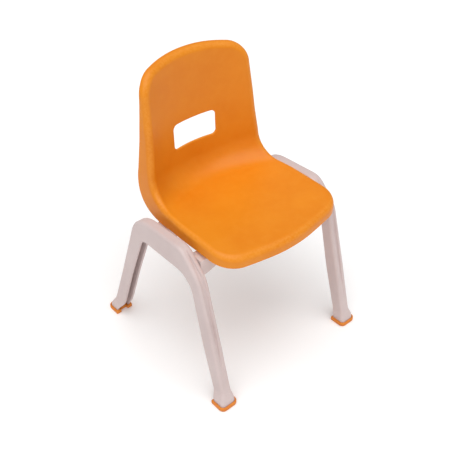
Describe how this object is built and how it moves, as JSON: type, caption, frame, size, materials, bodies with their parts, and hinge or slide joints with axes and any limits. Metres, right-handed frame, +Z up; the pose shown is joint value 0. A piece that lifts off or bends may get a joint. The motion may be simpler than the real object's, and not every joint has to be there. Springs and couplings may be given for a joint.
{
  "type": "stacking chair",
  "caption": "Small stacking chair: a moulded seat and back shell with a rolled rim and a hand-hole, on arched channel leg frames with foot caps, joined by cross rails.",
  "frame": {"origin": "on the floor, under the middle of the chair's bounding box", "axes": "+Z up; the chair faces -Y; +X is to the right of someone looking along +Y, and the chair is the same on both sides of X = 0"},
  "size_m": [0.3184, 0.3232, 0.4833],
  "materials": {
    "shell_plastic": "satin orange polypropylene with a fine moulded grain",
    "frame_plastic": "satin pale warm-grey moulded plastic",
    "cap_rubber": "orange moulded rubber",
    "plated_steel": "zinc-plated steel"
  },
  "bodies": {
    "root": {"seat_shell": "shell_plastic", "leg_frame_left": "frame_plastic", "leg_frame_right": "frame_plastic", "front_cross_rail": "frame_plastic", "rear_cross_rail": "frame_plastic", "foot_cap_front_left": "cap_rubber", "foot_cap_front_right": "cap_rubber", "foot_cap_rear_left": "cap_rubber", "foot_cap_rear_right": "cap_rubber", "rail_bolt_front_left_lower": "plated_steel", "rail_bolt_front_left_upper": "plated_steel", "rail_bolt_front_right_lower": "plated_steel", "rail_bolt_front_right_upper": "plated_steel", "rail_bolt_rear_left_lower": "plated_steel", "rail_bolt_rear_left_upper": "plated_steel", "rail_bolt_rear_right_lower": "plated_steel", "rail_bolt_rear_right_upper": "plated_steel", "rail_nut_front_left_lower": "plated_steel", "rail_nut_front_left_upper": "plated_steel", "rail_nut_front_right_lower": "plated_steel", "rail_nut_front_right_upper": "plated_steel", "rail_nut_rear_left_lower": "plated_steel", "rail_nut_rear_left_upper": "plated_steel", "rail_nut_rear_right_lower": "plated_steel", "rail_nut_rear_right_upper": "plated_steel", "seat_screw_front_left": "plated_steel", "seat_screw_front_right": "plated_steel", "seat_screw_rear_left": "plated_steel", "seat_screw_rear_right": "plated_steel", "seat_washer_front_left": "plated_steel", "seat_washer_front_right": "plated_steel", "seat_washer_rear_left": "plated_steel", "seat_washer_rear_right": "plated_steel"}
  },
  "joints": []
}
